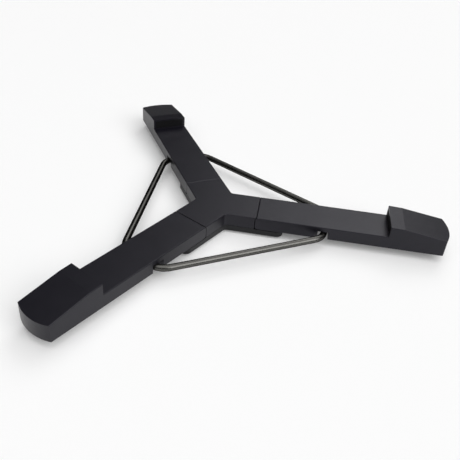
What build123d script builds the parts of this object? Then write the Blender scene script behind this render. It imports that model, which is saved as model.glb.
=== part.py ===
from build123d import *
import math
import os

os.makedirs("parts", exist_ok=True)

# Low three-armed cradle.  Millimetres, +Z up.  The origin is on the floor under the middle of
# the hub.  Arm 1 runs along +X; arms 2 and 3 follow at 120 and 240 degrees.

# ---- overall layout
ARM_COUNT = 3
ARM_WIDTH = 30.0
FOOT_HEIGHT = 7.0                     # floor to the underside of the arms
ARM_THICKNESS = 10.0
ARM_BOTTOM = FOOT_HEIGHT
ARM_TOP = ARM_BOTTOM + ARM_THICKNESS
HUB_BOTTOM = 2.0
RUN_GAP = 0.3                         # free gap between parts that move past each other
TONGUE_GAP = 0.5                      # underside of a closed arm to its rest tongue
EDGE = 0.6                            # rounding of the outside edges

# ---- hub
SEAM_R = 31.0                         # hub face that each arm closes against
TONGUE_R = 53.0                       # end of the base plate under each arm
TONGUE_CORNER = 5.0
HUB_INNER_FILLET = 3.0
PLATE_JOINT_CHAMFER = 0.25
HUB_SCREW_R = 20.0
HUB_CAVITY_R = 9.0
HUB_CAVITY_DEPTH = 6.0
HUB_PAD_R = 11.0

# ---- arm hinge: a rule joint.  The pin lies close under the top; above it the arm's end and the
# ---- hub face are arcs about the pin, so the closed seam is only a fine line from every side.
# ---- The lug that carries the pin is hidden inside the arm.
ARM_END_R = 4.0
PIN_DEPTH = 2.8
BARREL_R = 1.9
PIN_R = 1.0
PIN_LENGTH = 23.0
PIN_RUN_CLEARANCE = 0.05
ARM_START = SEAM_R + RUN_GAP
HINGE_R = ARM_START + ARM_END_R
HINGE_Z = ARM_TOP - PIN_DEPTH
FACE_ARC_R = ARM_END_R + RUN_GAP
ARM_LOW_R = HINGE_Z - (ARM_BOTTOM - TONGUE_GAP) - RUN_GAP   # lower end corner passes the tongue
LUG_WIDTH = 10.0
LUG_DEPTH = 3.5
SEAM_BREAK = 0.2                      # broken edge on both sides of the seam

# ---- raised end stop
STOP_IN_R = 130.5
STOP_BEND_R = 140.5
STOP_TOP = 25.6
STOP_BEND_TOP = 25.15
TIP_CORNER_R = 171.5
TIP_CORNER_TOP = 20.3
TIP_BULGE = 3.5
TIP_R = TIP_CORNER_R + TIP_BULGE
STOP_SLOPE = (STOP_BEND_TOP - TIP_CORNER_TOP) / (TIP_CORNER_R - STOP_BEND_R)

# ---- rod ring and the pocket it sits in
ROD_R = 2.5
RING_INRADIUS = 57.3                  # centre line of the three long runs
RING_CROSS_R = 83.7                   # centre line of the short run across each arm
RING_BEND_R = 14.0
RING_Z = 10.0
POCKET_IN_R = 79.0
POCKET_OUT_R = 86.8
POCKET_ROOF = ARM_TOP - 3.8
POCKET_MOUTH_R = 76.3                 # the inner wall flares to here at the arm's side faces
POCKET_FLARE = 2.5
SADDLE_HALF = 8.0
SADDLE_TOP = ARM_TOP - 2.0
SADDLE_FIT = 0.05

# ---- arm hollows and covers
WALL = 3.0
SKIN = 2.5
COVER_T = 2.0
COVER_FIT = 0.15
LEDGE = 2.0
OUTER_CAVITY = (90.0, 168.0)
STOP_CAVITY = (135.0, 164.0)
STOP_CAVITY_TOP = 18.0
INNER_CAVITY = (39.0, 59.0)
BOSS_R = 3.6
OUTER_SCREWS = (97.0, 162.5)
INNER_SCREW = 54.0
SCREW_R = 1.25
SCREW_HEAD_R = 2.4
SCREW_LENGTH = 5.5
FOOT_R = 4.8
FOOT_AT = 150.0
FOOT_STEM_R = 2.5

# ---- rubber pad let into the inner face of each stop
PAD_T = 1.5
PAD_HALF = 13.0
PAD_LOW = ARM_TOP + 0.8
PAD_HIGH = STOP_TOP - 1.2


def box(x0, x1, y0, y1, z0, z1):
    """Axis-aligned block from its limits."""
    place = Location(((x0 + x1) / 2, (y0 + y1) / 2, (z0 + z1) / 2))
    return place * Box(x1 - x0, y1 - y0, z1 - z0)


def post(x, y, z0, z1, r):
    """Upright cylinder."""
    return Location((x, y, (z0 + z1) / 2)) * Cylinder(r, z1 - z0)


def cross_bar(x, z, r, y0, y1):
    """Cylinder lying across an arm."""
    return Location((x, (y0 + y1) / 2, z), (90, 0, 0)) * Cylinder(r, y1 - y0)


def turned(shape, index):
    """Arm-1 shape moved to arm number index (0 to 2)."""
    return Rot(0, 0, index * 360.0 / ARM_COUNT) * shape


def save(name, shape, count=1):
    """One STEP file per piece; count is the number of solids it must hold."""
    assert len(shape.solids()) == count, (name, len(shape.solids()))
    export_step(shape, "parts/" + name + ".step")


def countersunk_screw(x, y, z):
    """Screw with its flat head at z, pointing up, with a hexagon recess."""
    shank = post(x, y, z, z + SCREW_LENGTH, SCREW_R)
    head = Location((x, y, z + 0.65)) * Cone(SCREW_HEAD_R, SCREW_R, 1.3)
    recess = Location((x, y, z)) * extrude(RegularPolygon(1.1, 6), 0.9)
    return shank + head - recess


def screw_seat(x, y, z, depth):
    """Clearance hole and countersink, cut upward from z."""
    hole = post(x, y, z - 0.1, z + depth, SCREW_R + 0.1)
    sink = Location((x, y, z + 0.65)) * Cone(SCREW_HEAD_R + 0.1, SCREW_R + 0.1, 1.3)
    return hole + sink


# ---------------------------------------------------------------- hub
def star(reach, z0, z1):
    """Three-armed outline with filleted inner corners."""
    body = box(0, reach, -ARM_WIDTH / 2, ARM_WIDTH / 2, z0, z1)
    whole = body + turned(body, 1) + turned(body, 2)
    corner_r = ARM_WIDTH / 2 / math.sin(math.radians(60))
    inner = [e for e in whole.edges().filter_by(Axis.Z)
             if abs(math.hypot(e.center().X, e.center().Y) - corner_r) < 0.1]
    return fillet(inner, HUB_INNER_FILLET)


def hinge_lug():
    """Post on the rest tongue of arm 1 with the barrel that carries the hinge pin."""
    half = LUG_WIDTH / 2
    barrel = cross_bar(HINGE_R, HINGE_Z, BARREL_R, -half, half)
    rise = box(HINGE_R, HINGE_R + LUG_DEPTH, -half, half, ARM_BOTTOM - 2, HINGE_Z)
    bore = cross_bar(HINGE_R, HINGE_Z, PIN_R + PIN_RUN_CLEARANCE, -ARM_WIDTH, ARM_WIDTH)
    return rise + barrel - bore


def hub_block():
    """Upper hub; each of its three faces overhangs in an arc about the arm's pin."""
    lip_r = HINGE_R - math.sqrt(FACE_ARC_R ** 2 - PIN_DEPTH ** 2)
    body = star(lip_r, ARM_BOTTOM, ARM_TOP)
    side_top = [e for e in body.edges() if abs(e.center().Z - ARM_TOP) < 0.01
                and math.hypot(e.center().X, e.center().Y) < SEAM_R - 1]
    body = fillet(side_top, EDGE)
    low = [e for e in body.edges() if abs(e.center().Z - ARM_BOTTOM) < 0.01]
    body = chamfer(low, PLATE_JOINT_CHAMFER)
    for i in range(ARM_COUNT):
        away = cross_bar(HINGE_R, HINGE_Z, FACE_ARC_R, -ARM_WIDTH, ARM_WIDTH)
        away = away + box(SEAM_R, HINGE_R, -ARM_WIDTH, ARM_WIDTH, ARM_BOTTOM - 1, HINGE_Z)
        body = body - turned(away, i)
    lips = [e for e in body.edges() if abs(e.center().Z - ARM_TOP) < 0.01
            and abs(math.hypot(e.center().X, e.center().Y) - lip_r) < 0.1]
    body = chamfer(lips, SEAM_BREAK)
    for i in range(ARM_COUNT):
        hole = post(HUB_SCREW_R, 0, ARM_BOTTOM - 0.1, ARM_BOTTOM + 5.0, SCREW_R)
        body = body - turned(hole, i)
    hollow = post(0, 0, ARM_BOTTOM - 0.1, ARM_BOTTOM + HUB_CAVITY_DEPTH, HUB_CAVITY_R)
    return body - hollow


def base_plate():
    """Plate under the hub with a rest tongue and a hinge lug under each arm."""
    plate = star(TONGUE_R, HUB_BOTTOM, ARM_BOTTOM)
    ends = [e for e in plate.edges().filter_by(Axis.Z)
            if math.hypot(e.center().X, e.center().Y) > TONGUE_R]
    plate = fillet(ends, TONGUE_CORNER)
    low = [e for e in plate.edges() if abs(e.center().Z - HUB_BOTTOM) < 0.01]
    plate = fillet(low, EDGE)
    for i in range(ARM_COUNT):
        relief = box(SEAM_R, TONGUE_R + 1, -ARM_WIDTH, ARM_WIDTH,
                     ARM_BOTTOM - TONGUE_GAP, ARM_TOP)
        plate = plate - turned(relief, i)
        plate = plate + turned(hinge_lug(), i)
        plate = plate - turned(screw_seat(HUB_SCREW_R, 0, HUB_BOTTOM, 6.0), i)
    return plate


def hub_pad():
    """Round rubber pad under the middle of the hub."""
    pad = post(0, 0, 0, HUB_BOTTOM, HUB_PAD_R)
    low = [e for e in pad.edges() if abs(e.center().Z) < 0.01]
    return fillet(low, EDGE)


# ---------------------------------------------------------------- arm 1
def about_pin(radius, rise):
    """Point on a circle about the pin, on the hub's side, at a height above the pin."""
    return (HINGE_R - math.sqrt(radius ** 2 - rise ** 2), HINGE_Z + rise)


def arm_outline():
    """Side profile cut to the plan shape with its convex end."""
    half = ARM_WIDTH / 2
    far = TIP_R + 5
    far_top = STOP_BEND_TOP - STOP_SLOPE * (far - STOP_BEND_R)
    top_end = about_pin(ARM_END_R, PIN_DEPTH)
    face_end = (ARM_START, HINGE_Z)
    corner_drop = math.sqrt(ARM_LOW_R ** 2 - ARM_END_R ** 2)
    corner = (ARM_START, HINGE_Z - corner_drop)
    under = about_pin(ARM_LOW_R, ARM_BOTTOM - HINGE_Z)
    under_mid = about_pin(ARM_LOW_R, (ARM_BOTTOM - HINGE_Z - corner_drop) / 2)
    profile = Curve() + [
        Line(under, (far, ARM_BOTTOM)),
        Line((far, ARM_BOTTOM), (far, far_top)),
        Line((far, far_top), (STOP_BEND_R, STOP_BEND_TOP)),
        Line((STOP_BEND_R, STOP_BEND_TOP), (STOP_IN_R, STOP_TOP)),
        Line((STOP_IN_R, STOP_TOP), (STOP_IN_R, ARM_TOP)),
        Line((STOP_IN_R, ARM_TOP), top_end),
        ThreePointArc(top_end, about_pin(ARM_END_R, PIN_DEPTH / 2), face_end),
        Line(face_end, corner),
        ThreePointArc(corner, under_mid, under)]
    side_solid = extrude(Plane.XZ * make_face(profile), ARM_WIDTH, both=True)
    plan = Curve() + [
        Line((ARM_START - 1, -half), (TIP_CORNER_R, -half)),
        ThreePointArc((TIP_CORNER_R, -half), (TIP_R, 0), (TIP_CORNER_R, half)),
        Line((TIP_CORNER_R, half), (ARM_START - 1, half)),
        Line((ARM_START - 1, half), (ARM_START - 1, -half))]
    plan_solid = extrude(make_face(plan), 40)
    return side_solid & plan_solid


def rounded_arm():
    """Arm bar with its edges rounded."""
    arm = arm_outline()
    long_top = [e for e in arm.edges() if abs(abs(e.center().Y) - ARM_WIDTH / 2) < 0.01
                and e.center().Z > ARM_TOP - 0.01 and e.center().X < TIP_CORNER_R - 1
                and abs(e.center().X - STOP_IN_R) > 0.1
                and abs((e @ 0).Z - (e @ 1).Z) < ARM_THICKNESS / 2 and e.length > 2]
    arm = fillet(long_top, EDGE)
    seam_edge = [e for e in arm.edges() if abs(e.center().Z - ARM_TOP) < 0.01
                 and abs(e.center().Y) < 0.1 and e.center().X < HINGE_R]
    return chamfer(seam_edge, SEAM_BREAK)


def pocket():
    """Channel across the arm for the ring, with a deeper seat in the middle for the saddle."""
    face = ARM_WIDTH / 2
    half = face + 1
    neck = face - POCKET_FLARE
    plan = Polyline((POCKET_OUT_R, -half), (POCKET_OUT_R, half), (POCKET_MOUTH_R, half),
                    (POCKET_MOUTH_R, face), (POCKET_IN_R, neck), (POCKET_IN_R, -neck),
                    (POCKET_MOUTH_R, -face), (POCKET_MOUTH_R, -half), close=True)
    base = Location((0, 0, ARM_BOTTOM - 1)) * make_face(plan)
    channel = extrude(base, POCKET_ROOF - ARM_BOTTOM + 1)
    seat = box(POCKET_IN_R, POCKET_OUT_R, -SADDLE_HALF, SADDLE_HALF, ARM_BOTTOM, SADDLE_TOP)
    return channel + seat


def arm():
    """Arm shell with stop, hollow from below."""
    inner = ARM_WIDTH / 2 - WALL
    ledge = inner - LEDGE
    body = rounded_arm() - pocket()
    # outer hollow with a step for the cover
    body = body - box(OUTER_CAVITY[0], OUTER_CAVITY[1], -inner, inner,
                      ARM_BOTTOM - 1, ARM_BOTTOM + COVER_T)
    body = body - box(OUTER_CAVITY[0] + LEDGE, OUTER_CAVITY[1] - LEDGE, -ledge, ledge,
                      ARM_BOTTOM, ARM_TOP - SKIN)
    body = body - box(STOP_CAVITY[0], STOP_CAVITY[1], -ledge, ledge, ARM_BOTTOM, STOP_CAVITY_TOP)
    for x in OUTER_SCREWS:
        top = STOP_CAVITY_TOP if x > STOP_CAVITY[0] else ARM_TOP - SKIN
        body = body + post(x, 0, ARM_BOTTOM + COVER_T, top + 0.1, BOSS_R)
        body = body - post(x, 0, ARM_BOTTOM, ARM_BOTTOM + COVER_T + 4.5, SCREW_R)
    # inner hollow
    body = body - box(HINGE_R - PIN_R, INNER_CAVITY[1] + LEDGE, -inner, inner,
                      ARM_BOTTOM - 1, ARM_BOTTOM + COVER_T)
    body = body - box(INNER_CAVITY[0], INNER_CAVITY[1], -ledge, ledge,
                      ARM_BOTTOM, ARM_TOP - SKIN)
    body = body + post(INNER_SCREW, 0, ARM_BOTTOM + COVER_T, ARM_TOP - SKIN + 0.1, BOSS_R)
    body = body - post(INNER_SCREW, 0, ARM_BOTTOM, ARM_BOTTOM + COVER_T + 4.5, SCREW_R)
    # hinge: open saddles for the pin and room for the hub lug
    pin_half = PIN_LENGTH / 2 + 0.1
    body = body - cross_bar(HINGE_R, HINGE_Z, PIN_R, -pin_half, pin_half)
    body = body - box(HINGE_R - PIN_R, HINGE_R + PIN_R, -pin_half, pin_half,
                      ARM_BOTTOM - 1, HINGE_Z)
    slot = LUG_WIDTH / 2 + RUN_GAP
    body = body - cross_bar(HINGE_R, HINGE_Z, BARREL_R + RUN_GAP, -slot, slot)
    body = body - box(ARM_START - 1, HINGE_R + LUG_DEPTH + RUN_GAP, -slot, slot,
                      ARM_BOTTOM - 1, HINGE_Z)
    # recess for the stop pad
    body = body - box(STOP_IN_R - 1, STOP_IN_R + PAD_T, -PAD_HALF, PAD_HALF, PAD_LOW, PAD_HIGH)
    return body


def hinge_pin():
    """Plain steel pin."""
    return cross_bar(HINGE_R, HINGE_Z, PIN_R, -PIN_LENGTH / 2, PIN_LENGTH / 2)


def hinge_cover():
    """Inner underside cover; its two ribs hold the pin up in its saddles."""
    half = ARM_WIDTH / 2 - WALL - COVER_FIT
    x0 = HINGE_R - PIN_R + COVER_FIT
    x1 = INNER_CAVITY[1] + LEDGE - COVER_FIT
    slot = LUG_WIDTH / 2 + RUN_GAP
    plate = box(x0, x1, -half, half, ARM_BOTTOM, ARM_BOTTOM + COVER_T)
    plate = plate - box(x0 - 1, HINGE_R + LUG_DEPTH + RUN_GAP, -slot, slot,
                        ARM_BOTTOM - 1, ARM_TOP)
    for side in (1, -1):
        y0, y1 = sorted((side * (slot + 0.4), side * (PIN_LENGTH / 2 - 0.2)))
        plate = plate + box(x0, HINGE_R + PIN_R - COVER_FIT, y0, y1,
                            ARM_BOTTOM + COVER_T, HINGE_Z - PIN_R)
    return plate - screw_seat(INNER_SCREW, 0, ARM_BOTTOM, COVER_T + 0.1)


def arm_cover():
    """Outer underside cover with the hole for the foot stem."""
    half = ARM_WIDTH / 2 - WALL - COVER_FIT
    plate = box(OUTER_CAVITY[0] + COVER_FIT, OUTER_CAVITY[1] - COVER_FIT, -half, half,
                ARM_BOTTOM, ARM_BOTTOM + COVER_T)
    for x in OUTER_SCREWS:
        plate = plate - screw_seat(x, 0, ARM_BOTTOM, COVER_T + 0.1)
    return plate - post(FOOT_AT, 0, ARM_BOTTOM - 0.1, ARM_BOTTOM + COVER_T + 0.1, FOOT_STEM_R)


def tip_foot():
    """Rubber foot with a stem and a retaining bead above the cover."""
    foot = post(FOOT_AT, 0, 0, ARM_BOTTOM, FOOT_R)
    low = [e for e in foot.edges() if abs(e.center().Z) < 0.01]
    foot = fillet(low, EDGE)
    stem = post(FOOT_AT, 0, ARM_BOTTOM, ARM_BOTTOM + COVER_T + 2.0, FOOT_STEM_R)
    bead = post(FOOT_AT, 0, ARM_BOTTOM + COVER_T + 0.1, ARM_BOTTOM + COVER_T + 1.5,
                FOOT_STEM_R + 0.7)
    return foot + stem + bead


def stop_pad():
    """Rubber pad let into the face the instrument leans against."""
    return box(STOP_IN_R, STOP_IN_R + PAD_T, -PAD_HALF, PAD_HALF, PAD_LOW, PAD_HIGH)


def ring_path():
    """Closed centre line: three long runs and a short straight run across each arm."""
    half_cross = (RING_INRADIUS - RING_CROSS_R / 2) / math.cos(math.radians(30))
    corner = math.hypot(RING_CROSS_R, half_cross)
    swing = math.atan2(half_cross, RING_CROSS_R)
    points = []
    for i in range(ARM_COUNT):
        for side in (-1, 1):
            a = 2 * math.pi * i / ARM_COUNT + side * swing
            points.append((corner * math.cos(a), corner * math.sin(a), RING_Z))
    return FilletPolyline(*points, radius=RING_BEND_R, close=True)


def rod_ring(radius):
    """Closed ring of round rod."""
    path = ring_path()
    profile = Plane(origin=path @ 0, z_dir=path % 0) * Circle(radius)
    return sweep(profile, path=path)


def ring_saddle():
    """Rubber saddle in the pocket that grips the top of the rod."""
    block = box(POCKET_IN_R, POCKET_OUT_R, -SADDLE_HALF, SADDLE_HALF, RING_Z + 0.2, SADDLE_TOP)
    return block - rod_ring(ROD_R + SADDLE_FIT)


def arm_screws():
    """The three equal screws under one arm."""
    places = (INNER_SCREW,) + OUTER_SCREWS
    return Compound([countersunk_screw(x, 0, ARM_BOTTOM).solid() for x in places])


def hub_screws():
    """The three equal screws under the hub."""
    one = countersunk_screw(HUB_SCREW_R, 0, HUB_BOTTOM).solid()
    return Compound([turned(one, i) for i in range(ARM_COUNT)])


# ---------------------------------------------------------------- write the pieces
save("hub_block", hub_block())
save("base_plate", base_plate())
save("hub_pad", hub_pad())
save("hub_screws", hub_screws(), 3)
save("ring", rod_ring(ROD_R))
PIECES = {"arm": arm(), "hinge_pin": hinge_pin(), "hinge_cover": hinge_cover(),
          "arm_cover": arm_cover(), "tip_foot": tip_foot(), "stop_pad": stop_pad(),
          "ring_saddle": ring_saddle(), "arm_screws": arm_screws()}
for name, piece in PIECES.items():
    for n in range(ARM_COUNT):
        save(name + "_" + str(n + 1), turned(piece, n), 3 if name == "arm_screws" else 1)
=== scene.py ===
import math

import bpy
from mathutils import Matrix, Vector


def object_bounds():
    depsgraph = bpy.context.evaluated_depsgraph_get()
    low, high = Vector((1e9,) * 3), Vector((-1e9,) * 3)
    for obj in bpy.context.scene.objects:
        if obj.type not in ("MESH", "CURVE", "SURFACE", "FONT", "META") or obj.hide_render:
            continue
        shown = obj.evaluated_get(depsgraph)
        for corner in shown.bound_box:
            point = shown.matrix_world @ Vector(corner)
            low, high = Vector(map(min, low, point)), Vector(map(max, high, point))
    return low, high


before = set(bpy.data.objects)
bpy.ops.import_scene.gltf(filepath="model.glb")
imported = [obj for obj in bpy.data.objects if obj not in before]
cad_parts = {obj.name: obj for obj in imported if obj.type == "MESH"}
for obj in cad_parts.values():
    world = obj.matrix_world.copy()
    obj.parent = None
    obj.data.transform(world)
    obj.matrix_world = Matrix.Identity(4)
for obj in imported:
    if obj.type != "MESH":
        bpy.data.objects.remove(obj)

CAD_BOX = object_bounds()

# ---------------------------------------------------------------- floor and light

FLOOR_HALF = 9.0                        # metres
LIGHT_FAR = 2.0                         # metres from the origin to each sun lamp's own marker

# light levels, where 1 is white
TABLE_GLOW = 0.16
SKY_TOP = 1.15
SKY_LOW = 0.03
BACKDROP = 0.965

# the bright cap of the sky leans to the back right; its edge fades between these cosines
SKY_AXIS = Vector((0.199, 0.237, 0.951))
SKY_FADE = (0.76, 0.88)

# soft lights: name, azimuth from +Y towards +X, elevation and angular width in degrees, power
SOFTBOXES = (
    ("back_box", 13, 41, 32, 0.42),
    ("front_box", 123, 38, 44, 1.55),
    ("fill_box", 195, 58, 60, 0.90),
)

# floor paper
PAPER_DARK = (0.79, 0.79, 0.79, 1)
PAPER_LIGHT = (0.81, 0.81, 0.81, 1)
PAPER_ROUGH = (0.7, 0.8)
PAPER_SPECULAR = 0.2
PAPER_GRAIN = 900.0                     # features per metre

# relief and painted edge highlight that every finish shares
MID_FINER = 9                           # the middle noise is this many times finer than the patches
COLOUR_SPREAD = (0.32, 0.68)            # noise values that reach the two end colours
NOISE_SPREAD = (0.35, 0.65)
EDGE_HIGHLIGHT_LEAST = 0.35                       # share of the painted edge highlight left where it is thinnest
BEVEL_SAMPLES = 6
FLAT_COSINE = 0.995                     # no painted edge highlight where the rounded normal agrees this well
EDGE_COSINE = 0.80                      # full painted edge highlight where it agrees no better than this

# ---------------------------------------------------------------- camera, in the shared frame

CAM_PLACE = Vector((0.04844, -0.38158, 0.27401))
CAM_RIGHT = Vector((0.98468, 0.16481, 0.05689))
CAM_UP = Vector((-0.14034, 0.55563, 0.81950))
CAM_BACK = Vector((0.10346, -0.81493, 0.57025))
SENSOR = 36.0                           # millimetres
LENS = 46.46661                         # millimetres
SHIFT_X = 0.0281304                     # shares of the frame's width
SHIFT_Y = -0.0387609
CLIP_NEAR = 0.01                        # metres
CLIP_FAR = 50.0


# ---------------------------------------------------------------- node helpers

class Tree:
    """A material's node tree with short calls to add and join nodes."""

    def __init__(self, owner):
        owner.use_nodes = True
        self.t = owner.node_tree
        self.t.nodes.clear()

    def add(self, kind, **values):
        n = self.t.nodes.new(kind)
        for key, value in values.items():
            setattr(n, key, value)
        return n

    def put(self, node, name, value):
        """Joins a socket to an input, or sets the input's own number or colour."""
        socket = node.inputs[name]
        if isinstance(value, bpy.types.NodeSocket):
            self.t.links.new(value, socket)
        else:
            socket.default_value = value

    def noise(self, where, scale, detail=2.0, rough=0.5, distort=0.0):
        n = self.add("ShaderNodeTexNoise")
        self.put(n, "Vector", where)
        self.put(n, "Scale", scale)
        self.put(n, "Detail", detail)
        self.put(n, "Roughness", rough)
        self.put(n, "Distortion", distort)
        return n.outputs["Fac"]

    def span(self, value, low, high, to_low=0.0, to_high=1.0, smooth=False):
        n = self.add("ShaderNodeMapRange")
        n.interpolation_type = "SMOOTHSTEP" if smooth else "LINEAR"
        self.put(n, "Value", value)
        self.put(n, "From Min", low)
        self.put(n, "From Max", high)
        self.put(n, "To Min", to_low)
        self.put(n, "To Max", to_high)
        return n.outputs["Result"]

    def maths(self, how, a, b=0.0):
        n = self.add("ShaderNodeMath", operation=how)
        self.put(n, 0, a)
        self.put(n, 1, b)
        return n.outputs[0]

    def vector(self, how, a, b=None, scale=None):
        n = self.add("ShaderNodeVectorMath", operation=how)
        self.put(n, 0, a)
        if b is not None:
            self.put(n, 1, b)
        if scale is not None:
            self.put(n, "Scale", scale)
        return n.outputs["Value"] if how in ("DOT_PRODUCT", "LENGTH") else n.outputs["Vector"]

    def mix(self, factor, a, b):
        n = self.add("ShaderNodeMix", data_type="RGBA")
        self.put(n, 0, factor)
        self.put(n, 6, a)
        self.put(n, 7, b)
        return n.outputs[2]

    def bump(self, height, depth, normal=None, strength=1.0):
        n = self.add("ShaderNodeBump")
        self.put(n, "Height", height)
        self.put(n, "Distance", depth)
        self.put(n, "Strength", strength)
        if normal is not None:
            self.put(n, "Normal", normal)
        return n.outputs["Normal"]

    def edges(self, radius):
        """1 within the radius of an edge, 0 on flat areas."""
        bevel = self.add("ShaderNodeBevel", samples=BEVEL_SAMPLES)
        self.put(bevel, "Radius", radius)
        flat = self.add("ShaderNodeNewGeometry")
        same = self.vector("DOT_PRODUCT", bevel.outputs["Normal"], flat.outputs["Normal"])
        return self.span(same, FLAT_COSINE, EDGE_COSINE, 0.0, 1.0)

    def places(self):
        return self.add("ShaderNodeTexCoord").outputs["Object"]


def surface(name, dark, light, rough, grain, peel, edge,
            metal=0.0, specular=0.5, tint=None, patches=45.0):
    """A finished surface.
    dark, light: the two ends of the colour's variation.
    rough: lowest and highest roughness.
    grain, peel: (features per metre, depth in metres) of the fine and the coarse relief.
    edge: (radius in metres, colour, amount, roughness change) along the rounded edges, where the
    lighter colour is a painted edge highlight.
    tint: colour of the gloss, or for a metal its reflection at a glancing angle.
    patches: broad variations per metre.
    """
    material = bpy.data.materials.new(name)
    t = Tree(material)
    where = t.places()
    out = t.add("ShaderNodeOutputMaterial")
    shader = t.add("ShaderNodeBsdfPrincipled")
    t.put(out, "Surface", shader.outputs["BSDF"])

    broad = t.noise(where, patches, 4.0, 0.55, 0.3)
    fine = t.noise(where, grain[0], 2.0, 0.6)
    mid = t.noise(where, patches * MID_FINER, 3.0, 0.6)
    blend = t.maths("ADD", t.maths("MULTIPLY", broad, 0.55), t.maths("MULTIPLY", fine, 0.45))
    colour = t.mix(t.span(blend, *COLOUR_SPREAD), dark, light)

    # painted edge highlight: a lighter colour mixed in along the rounded edges, broken up by noise
    edge_highlight_mask = t.edges(edge[0])
    broken_edge_highlight = t.maths("MULTIPLY", edge_highlight_mask, t.span(mid, *NOISE_SPREAD, EDGE_HIGHLIGHT_LEAST, 1.0))
    colour = t.mix(t.maths("MULTIPLY", broken_edge_highlight, edge[2]), colour, edge[1])
    t.put(shader, "Base Color", colour)

    gloss = t.maths("ADD", t.maths("MULTIPLY", broad, 0.5), t.maths("MULTIPLY", mid, 0.5))
    gloss = t.span(gloss, *NOISE_SPREAD, *rough)
    gloss = t.maths("ADD", gloss, t.maths("MULTIPLY", broken_edge_highlight, edge[3]))
    t.put(shader, "Roughness", gloss)

    shader.inputs["Metallic"].default_value = metal
    shader.inputs["Specular IOR Level"].default_value = specular
    if tint is not None:
        shader.inputs["Specular Tint"].default_value = tint

    normal = t.bump(t.noise(where, peel[0], 3.0, 0.5), peel[1])
    normal = t.bump(fine, grain[1], normal)
    t.put(shader, "Normal", normal)
    return material


# ---------------------------------------------------------------- finishes

# in every finish below, the edge colour is a painted edge highlight along the rounded edges
shell = surface(
    "satin_black_shell",
    dark=(0.0032, 0.0029, 0.0058, 1), light=(0.0055, 0.0050, 0.0085, 1),
    rough=(0.33, 0.39), grain=(3200.0, 0.000022), peel=(160.0, 0.00003),
    edge=(0.0005, (0.025, 0.025, 0.028, 1), 0.35, -0.04),
    specular=0.385, tint=(0.93, 0.92, 1.0, 1),
)
cover = surface(
    "matt_black_cover",
    dark=(0.010, 0.010, 0.011, 1), light=(0.017, 0.017, 0.019, 1),
    rough=(0.50, 0.62), grain=(1800.0, 0.00005), peel=(120.0, 0.00004),
    edge=(0.0004, (0.04, 0.04, 0.042, 1), 0.4, -0.08),
)
plate = surface(
    "powder_coated_plate",
    dark=(0.0045, 0.0045, 0.0058, 1), light=(0.0085, 0.0085, 0.0100, 1),
    rough=(0.40, 0.50), grain=(2200.0, 0.00003), peel=(650.0, 0.00008),
    edge=(0.0004, (0.025, 0.025, 0.027, 1), 0.4, -0.08),
    specular=0.30,
)
rod = surface(
    "black_nickel_rod",
    dark=(0.086, 0.085, 0.080, 1), light=(0.114, 0.112, 0.106, 1),
    rough=(0.25, 0.31), grain=(2600.0, 0.000006), peel=(420.0, 0.000008),
    edge=(0.0002, (0.11, 0.11, 0.105, 1), 0.2, 0.0),
    metal=1.0, tint=(0.05, 0.05, 0.05, 1), patches=90.0,
)
steel = surface(
    "ground_steel_pin",
    dark=(0.42, 0.42, 0.41, 1), light=(0.55, 0.55, 0.54, 1),
    rough=(0.22, 0.34), grain=(3000.0, 0.00001), peel=(500.0, 0.00001),
    edge=(0.0002, (0.65, 0.65, 0.64, 1), 0.5, 0.05),
    metal=1.0, patches=120.0,
)
screw = surface(
    "black_oxide_screw",
    dark=(0.045, 0.044, 0.043, 1), light=(0.075, 0.073, 0.070, 1),
    rough=(0.30, 0.46), grain=(3000.0, 0.00002), peel=(700.0, 0.00002),
    edge=(0.00025, (0.30, 0.29, 0.28, 1), 0.6, -0.05),
    metal=1.0, patches=200.0,
)
rubber = surface(
    "moulded_rubber",
    dark=(0.012, 0.012, 0.012, 1), light=(0.022, 0.022, 0.022, 1),
    rough=(0.70, 0.85), grain=(1500.0, 0.00006), peel=(200.0, 0.00004),
    edge=(0.0004, (0.03, 0.03, 0.03, 1), 0.4, 0.05),
    specular=0.35,
)
pad = surface(
    "soft_stop_rubber",
    dark=(0.0035, 0.0035, 0.0042, 1), light=(0.0065, 0.0065, 0.0074, 1),
    rough=(0.78, 0.9), grain=(1300.0, 0.00009), peel=(260.0, 0.00005),
    edge=(0.0003, (0.010, 0.010, 0.010, 1), 0.3, 0.0),
    specular=0.20,
)

FINISH = {
    "hub_block": shell,
    "base_plate": plate,
    "hub_pad": rubber,
    "hub_screws": screw,
    "ring": rod,
}
for arm in "123":
    FINISH["arm_" + arm] = shell
    FINISH["hinge_pin_" + arm] = steel
    FINISH["hinge_cover_" + arm] = cover
    FINISH["arm_cover_" + arm] = cover
    FINISH["tip_foot_" + arm] = rubber
    FINISH["stop_pad_" + arm] = pad
    FINISH["ring_saddle_" + arm] = rubber
    FINISH["arm_screws_" + arm] = screw

for name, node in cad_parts.items():
    node.data.materials.clear()
    node.data.materials.append(FINISH[name])


# ---------------------------------------------------------------- stage

def paper():
    """White floor paper that glows a little, and is clear when seen from below."""
    material = bpy.data.materials.new("floor_paper")
    t = Tree(material)
    out = t.add("ShaderNodeOutputMaterial")
    white = t.add("ShaderNodeBsdfPrincipled")
    clear = t.add("ShaderNodeBsdfTransparent")
    either = t.add("ShaderNodeMixShader")
    grain = t.noise(t.places(), PAPER_GRAIN, 3.0, 0.5)
    t.put(white, "Base Color", t.mix(grain, PAPER_DARK, PAPER_LIGHT))
    t.put(white, "Roughness", t.span(grain, 0.3, 0.7, *PAPER_ROUGH))
    white.inputs["Specular IOR Level"].default_value = PAPER_SPECULAR
    t.put(either, 0, t.add("ShaderNodeNewGeometry").outputs["Backfacing"])
    glow = t.add("ShaderNodeEmission")
    t.put(glow, "Strength", TABLE_GLOW)
    lit = t.add("ShaderNodeAddShader")
    t.put(lit, 0, white.outputs[0])
    t.put(lit, 1, glow.outputs[0])
    t.put(either, 1, lit.outputs[0])
    t.put(either, 2, clear.outputs[0])
    t.put(out, "Surface", either.outputs[0])
    return material


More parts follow.
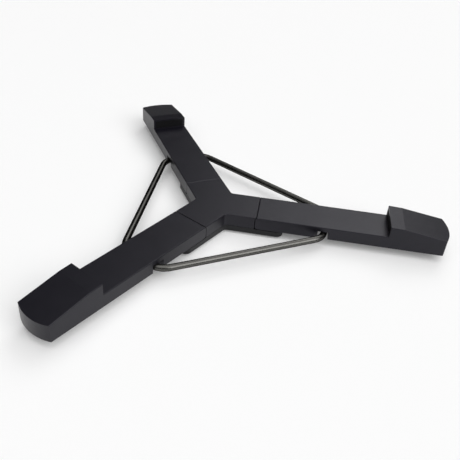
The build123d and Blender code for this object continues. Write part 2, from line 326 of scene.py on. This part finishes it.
def floor():
    mesh = bpy.data.meshes.new("floor")
    z = CAD_BOX[0].z
    h = FLOOR_HALF
    mesh.from_pydata([(-h, -h, z), (h, -h, z), (h, h, z), (-h, h, z)], [], [(0, 1, 2, 3)])
    mesh.materials.append(paper())
    obj = bpy.data.objects.new("floor", mesh)
    bpy.context.scene.collection.objects.link(obj)


def sky():
    """A studio dome with one bright cap, dim elsewhere; the camera itself sees paper white."""
    world = bpy.data.worlds.new("studio")
    bpy.context.scene.world = world
    t = Tree(world)
    out = t.add("ShaderNodeOutputWorld")
    light = t.add("ShaderNodeBackground")
    t.put(out, "Surface", light.outputs[0])
    where = t.add("ShaderNodeTexCoord").outputs["Generated"]
    near = t.vector("DOT_PRODUCT", where, SKY_AXIS)
    glow = t.span(near, *SKY_FADE, SKY_LOW, SKY_TOP, smooth=True)
    seen = t.add("ShaderNodeLightPath").outputs["Is Camera Ray"]
    t.put(light, "Color", (1.0, 1.0, 1.0, 1))
    t.put(light, "Strength", t.span(seen, 0.0, 1.0, glow, BACKDROP))


def softbox(name, azimuth, elevation, spread, power):
    """A far soft light, given by its direction and angular width in degrees."""
    data = bpy.data.lights.new(name, "SUN")
    data.angle = math.radians(spread)
    data.energy = power
    obj = bpy.data.objects.new(name, data)
    a, e = math.radians(azimuth), math.radians(elevation)
    way = Vector((math.sin(a) * math.cos(e), math.cos(a) * math.cos(e), math.sin(e)))
    obj.location = way * LIGHT_FAR
    obj.rotation_mode = "QUATERNION"
    obj.rotation_quaternion = way.to_track_quat("Z", "Y")
    bpy.context.scene.collection.objects.link(obj)


def camera():
    data = bpy.data.cameras.new("camera")
    data.sensor_fit = "HORIZONTAL"
    data.sensor_width = SENSOR
    data.lens = LENS
    data.shift_x = SHIFT_X
    data.shift_y = SHIFT_Y
    data.clip_start = CLIP_NEAR
    data.clip_end = CLIP_FAR
    obj = bpy.data.objects.new("camera", data)
    turn = Matrix((CAM_RIGHT, CAM_UP, CAM_BACK)).transposed().to_4x4()
    obj.matrix_world = Matrix.Translation(CAM_PLACE) @ turn
    bpy.context.scene.collection.objects.link(obj)
    bpy.context.scene.camera = obj


floor()
sky()
for row in SOFTBOXES:
    softbox(*row)
camera()

view = bpy.context.scene.view_settings
view.view_transform = "Standard"
view.look = "None"
